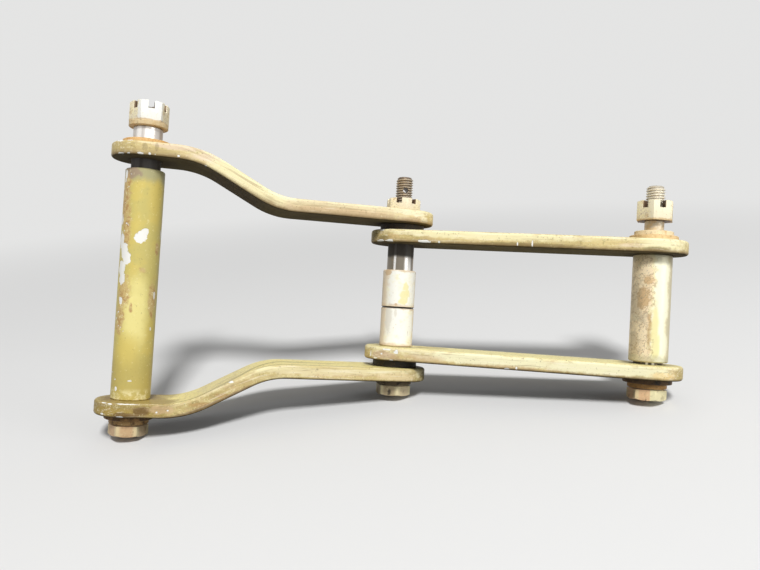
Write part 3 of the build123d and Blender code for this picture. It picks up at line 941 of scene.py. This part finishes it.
def make_bolt(joint, place, body, head_colours, thread, marks, hole_above_nut, hole_turn):
    """A hexagon bolt with a helical thread and a drilled tail."""
    node = f"{joint}_bolt"
    low, tip = heights(node, place)
    seat = heights(f"{joint}_head_washer", place)[0]
    nut_bottom, nut_top = heights(f"{joint}_nut", place)
    above_head = [point for point in local_points(node, place) if point.z > seat + 0.1]
    shank = max(point.xy.length for point in above_head)
    flat = hex_flats_mm / 2
    slope = tan(radians(corner_slope))
    washer_face = seat - washer_face_height_mm

    def side(inset, lift):
        """A ring on the hexagon's side, turned down at the corners."""

        def shape(turn):
            radius = hexagon_radius(turn)
            drop = max(0.0, radius - inset - flat) * slope
            return radius - inset, low + drop + lift

        return shape

    turned = Turned(place, corner_turn(node, place))
    turned.start(low)
    turned.circle(flat - 3 * head_rim_mm, low)
    turned.ring(side(head_rim_mm, 0))
    turned.ring(side(0.3 * head_rim_mm, 0.3 * head_rim_mm))
    turned.ring(side(0, head_rim_mm))
    turned.ring(lambda turn: (hexagon_radius(turn), washer_face - head_rim_mm))
    turned.ring(lambda turn: (hexagon_radius(turn) - head_rim_mm, washer_face))
    turned.circle(washer_face_share * flat, washer_face)
    turned.circle(washer_face_share * flat, seat)
    turned.circle(shank, seat)
    turned.circle(shank, nut_bottom - 0.1)
    turned.circle(thread_root_mm, nut_bottom)
    turned.thread(nut_bottom, tip)
    turned.end(tip)
    mesh = drilled(turned.finished(f"{node}_mesh"), place, nut_top + hole_above_nut, hole_turn)
    finish = bolt_finish(f"{node}_plating", place, seat, nut_top, head_colours, thread, marks)
    add_piece(f"{node}_look", mesh, finish, body, node)


def make_nut(joint, place, body, base, tan_from, tan_to, seed):
    """The castellated nut, with its edges rounded."""
    node = f"{joint}_nut"
    nut = bmesh.new()
    nut.from_mesh(frame["nodes"][node].data)
    bmesh.ops.remove_doubles(nut, verts=nut.verts, dist=1e-6)
    bmesh.ops.dissolve_limit(nut, angle_limit=radians(0.5), verts=nut.verts, edges=nut.edges)
    rims = [edge for edge in nut.edges if len(edge.link_faces) == 2]
    sharp = [edge for edge in rims if edge.calc_face_angle() > radians(24)]
    offset = nut_bevel_mm * mm
    bmesh.ops.bevel(
        nut, geom=sharp, offset=offset, segments=2, profile=0.5, affect="EDGES", clamp_overlap=True
    )
    bmesh.ops.triangulate(nut, faces=[face for face in nut.faces if len(face.verts) > 4])
    mesh = bpy.data.meshes.new(f"{node}_mesh")
    nut.to_mesh(mesh)
    nut.free()
    bottom, top = heights(node, place)
    finish = nut_finish(f"{node}_plating", place, bottom, top, base, tan_from, tan_to, seed)
    add_piece(f"{node}_look", mesh, finish, body, node)


# The links, tubes, sleeves, spacers and washers keep their CAD shape
def dress(node, material):
    """Give a CAD node its finish."""
    slots = frame["nodes"][node].data.materials
    slots.clear()
    slots.append(material)


outer = (middle_joint, outer_ends)
inner = (inner_joint, inner_ends)
# Wear and painted light of a link: the cream along its upper rim, wear and painted highlight, where the
# painted shade and grime begin, its top, partly painted light, and its far end
outer_upper_wear_and_light = (0.85, 0.0, khaki, (0.68, 0.55, 0.26))
outer_lower_wear_and_light = (0.0, -0.7, (0.96, 0.84, 0.34), (0.31, 0.22, 0.055))
inner_upper_wear_and_light = (0.85, -0.1, khaki, khaki)
inner_lower_wear_and_light = (0.7, -0.45, bright_top, khaki)
for node, (place, ends), chips, patches, seed, wear_and_light, creases in (
    ("outer_link_upper", outer, outer_upper_chips, outer_upper_stains_and_light, 1, outer_upper_wear_and_light, None),
    ("outer_link_lower", outer, outer_lower_chips, outer_lower_stains_and_light, 11, outer_lower_wear_and_light, bend_creases),
    ("inner_link_upper", inner, inner_upper_chips, inner_upper_stains_and_light, 21, inner_upper_wear_and_light, None),
    ("inner_link_lower", inner, inner_lower_chips, inner_lower_stains, 31, inner_lower_wear_and_light, None),
):
    finish = link_finish(f"{node}_olive", node, place, ends, chips, patches, seed, wear_and_light, creases)
    dress(node, finish)

tube_radius = max(point.xy.length for point in local_points("left_tube", left_joint))
spacer_radius = max(point.xy.length for point in local_points("upper_spacer", middle_joint))
dress("left_tube", left_tube_finish(tube_radius))
dress("right_tube", right_tube_finish(tube_radius))
upper_stains = (
    (yellow, (-80, 2.9, (1.1, 0.9, 1.5)), (-82, 0.2, (1.7, 1.2, 2.2)), (-88, -2.2, (1.5, 1, 1.3))),
    (pink_tan, (-150, 8.2, (1.6, 1.6, 1.2)), (-112, -3.4, (0.5, 0.5, 0.5))),
)
lower_stains = ((spot_grey, (-138, -8.6, (1.5, 1.3, 4.4)), (-112, -6.4, (0.5, 0.5, 1.6))),)
low, high = heights("upper_spacer", middle_joint)
dress("upper_spacer", spacer_finish("upper_ivory", spacer_radius, low, high, low, upper_stains))
low, high = heights("lower_spacer", middle_joint)
dress("lower_spacer", spacer_finish("lower_ivory", spacer_radius, low, high, high, lower_stains))

# Sleeves: their colour, dark on the middle and right ones as painted shade, the turns and half widths
# of their bright bands, which are painted highlights, and where the painted shade starts and is full
for side, place, base, bands, shade in (
    ("left", left_joint, (0.62, 0.59, 0.56), ((-122, 16), (-82, 24)), (43, 42)),
    # The middle and right sleeves are dark as painted shade
    ("middle", middle_joint, (0.23, 0.20, 0.155), ((-68, 24), (-130, 6)), (13.2, 14.6)),
    ("right", right_joint, (0.06, 0.05, 0.04), ((-104, 7), (-80, 8)), (90, 91)),
):
    dress(f"{side}_sleeve", sleeve_finish(f"{side}_steel", place, base, bands, *shade))

# Washers: their two colours and their share of pale specks
first_washer_seed = 71
washers = (
    ("left_nut_washer", left_joint, (0.64, 0.50, 0.29), tawny, 0.4),
    ("left_upper_washer", left_joint, (0.72, 0.45, 0.19), orange, 0.4),
    # Dark brown: painted shade for the shadow under the left lower link
    ("left_lower_washer", left_joint, brown, rust, 0.1),
    ("left_head_washer", left_joint, ochre, brown, 0.5),
    ("middle_head_washer", middle_joint, (0.20, 0.15, 0.08), soot_and_shade, 0.3),
    ("middle_upper_washer", middle_joint, soot_and_shade, black_brown, 0.0),
    ("middle_lower_washer", middle_joint, soot_and_shade, black_brown, 0.0),
    ("right_nut_washer", right_joint, (0.84, 0.70, 0.44), (0.66, 0.46, 0.22), 0.5),
    ("right_upper_washer", right_joint, (0.76, 0.55, 0.29), tawny, 0.4),
    # Dark brown and black: painted shade for the shadow under the right lower link
    ("right_lower_washer", right_joint, brown, soot_and_shade, 0.1),
    ("right_head_washer", right_joint, orange, rust, 0.3),
)
for seed, (name, place, base, shade, specks) in enumerate(washers, first_washer_seed):
    dress(name, washer_finish(f"{name}_rust", place, base, shade, specks, seed))

# Bolts: the head's two colours and where they meet, partly painted light and shade on its facets, the
# thread's colour and its dirt
left_bolt = (((0.66, 0.44, 0.24), (0.56, 0.42, 0.25), 3.0), ((0.42, 0.35, 0.26), 0.9))
middle_bolt = (((0.48, 0.38, 0.22), (0.74, 0.61, 0.38), -0.6), ((0.52, 0.46, 0.37), 0.85))
right_bolt = (((0.84, 0.55, 0.30), (0.97, 0.88, 0.52), 0.2), ((0.98, 0.93, 0.78), 0.5))
# Dark marks on the heads, as centres and half sizes
middle_marks = (((-2.9, -5.3, -34.8), (0.8, 0.9, 1.5)),)
right_marks = (((-1.0, -5.6, -31.5), (0.3, 0.9, 1.8)),)
# Nuts: their colour, the turns beyond which they are stained, and their noise's seed
left_nut = (plating, -122, -42, 91)
middle_nut = ((0.86, 0.77, 0.56), -118, -62, 92)
right_nut = ((0.88, 0.80, 0.58), -112, -52, 93)
# A hole lies this far above its nut's top, at this turn
for joint, place, body, (head_colours, thread), marks, hole, nut_colours in (
    ("left", left_joint, "left_axle", left_bolt, (), (-3.2, -60), left_nut),
    ("middle", middle_joint, "outer_pair", middle_bolt, middle_marks, (3.1, -95), middle_nut),
    ("right", right_joint, "right_axle", right_bolt, right_marks, (-1.3, -70), right_nut),
):
    make_bolt(joint, place, body, head_colours, thread, marks, *hole)
    make_nut(joint, place, body, *nut_colours)


# Camera
def place_camera():
    """The camera that the photograph was fitted with."""
    data = bpy.data.cameras.new("camera")
    data.lens = camera_lens
    data.sensor_width = sensor_width
    data.sensor_fit = "HORIZONTAL"
    data.clip_start = 0.005
    camera = add_object("camera", data)
    camera.matrix_world = (
        Matrix.Translation(Vector(camera_place_mm) * mm)
        @ Matrix.Rotation(radians(camera_yaw), 4, "Z")
        @ Matrix.Rotation(radians(90 + camera_pitch), 4, "X")
        @ Matrix.Rotation(radians(camera_roll), 4, "Z")
    )
    bpy.context.scene.camera = camera


place_camera()

# Floor and light
backdrop = (0.78, 0.78, 0.775)
floor_colour = backdrop
floor_dark = (0.10, 0.10, 0.10)
floor_size = 8.0
floor_fade_start = 0.16
floor_fade_end = 0.75


def seen_directly(nodes, links):
    """1 for rays from the camera, from gloss and through glass, and 0 for soft light."""
    path = nodes.new("ShaderNodeLightPath")
    seen = path.outputs["Is Camera Ray"]
    for name in ("Is Glossy Ray", "Is Transmission Ray"):
        wider = nodes.new("ShaderNodeMath")
        wider.operation = "MAXIMUM"
        links.new(seen, wider.inputs[0])
        links.new(path.outputs[name], wider.inputs[1])
        seen = wider.outputs[0]
    return seen


def mix_shaders(nodes, links, share, first, second, output):
    """Feed an output with the first shader where the share is 0 and the second where it is 1."""
    mixed = nodes.new("ShaderNodeMixShader")
    for source, socket in zip((share, first.outputs[0], second.outputs[0]), mixed.inputs):
        links.new(source, socket)
    links.new(mixed.outputs[0], nodes[output].inputs["Surface"])


def floor_finish():
    """Matt pale floor near the object, fading to the plain backdrop far from it."""
    material = bpy.data.materials.new("pale_floor")
    material.use_nodes = True
    nodes = material.node_tree.nodes
    links = material.node_tree.links
    near = nodes["Principled BSDF"]
    near.inputs["Roughness"].default_value = 1.0
    near.inputs["Specular IOR Level"].default_value = 0.0
    colour = nodes.new("ShaderNodeMix")
    colour.data_type = "RGBA"
    colour.inputs[6].default_value = (*floor_dark, 1)
    colour.inputs[7].default_value = (*floor_colour, 1)
    links.new(seen_directly(nodes, links), colour.inputs["Factor"])
    links.new(colour.outputs[2], near.inputs["Base Color"])
    far = nodes.new("ShaderNodeEmission")
    far.inputs["Color"].default_value = (*backdrop, 1)
    coordinates = nodes.new("ShaderNodeTexCoord")
    length = nodes.new("ShaderNodeVectorMath")
    length.operation = "LENGTH"
    fade = nodes.new("ShaderNodeMapRange")
    fade.interpolation_type = "SMOOTHSTEP"
    fade.inputs["From Min"].default_value = floor_fade_start
    fade.inputs["From Max"].default_value = floor_fade_end
    links.new(coordinates.outputs["Object"], length.inputs[0])
    links.new(length.outputs["Value"], fade.inputs["Value"])
    mix_shaders(nodes, links, fade.outputs["Result"], near, far, "Material Output")
    return material


def make_floor():
    """A wide plane just under the bolt heads."""
    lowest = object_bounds()[0][2]
    mesh = bpy.data.meshes.new("floor_mesh")
    half = floor_size / 2
    corners = [(-half, -half, 0), (half, -half, 0), (half, half, 0), (-half, half, 0)]
    mesh.from_pydata(corners, [], [(0, 1, 2, 3)])
    mesh.materials.append(floor_finish())
    floor = add_object("floor", mesh)
    floor.location.z = lowest


make_floor()


def make_world(ambient):
    """Even soft light, with the pale backdrop for the camera, gloss and glass."""
    world = bpy.data.worlds.new("studio")
    world.use_nodes = True
    nodes = world.node_tree.nodes
    links = world.node_tree.links
    light = nodes["Background"]
    light.inputs["Color"].default_value = (1, 1, 1, 1)
    light.inputs["Strength"].default_value = ambient
    seen = nodes.new("ShaderNodeBackground")
    seen.inputs["Color"].default_value = (*backdrop, 1)
    mix_shaders(nodes, links, seen_directly(nodes, links), light, seen, "World Output")
    bpy.context.scene.world = world


def make_lamp(name, place, target, size, power):
    """A square soft lamp that points at a place."""
    data = bpy.data.lights.new(name, "AREA")
    data.size = size
    data.energy = power
    lamp = add_object(name, data)
    lamp.location = place
    lamp.rotation_euler = (Vector(target) - Vector(place)).to_track_quat("-Z", "Y").to_euler()


make_world(0.30)
make_lamp("key", (0.17, -1.31, 1.63), (0, 0, 0.05), 0.36, 39.0)
make_lamp("side_fill", (0.75, -0.55, 0.30), (0, 0, 0.05), 0.4, 1.6)

bpy.context.scene.view_settings.view_transform = "Standard"
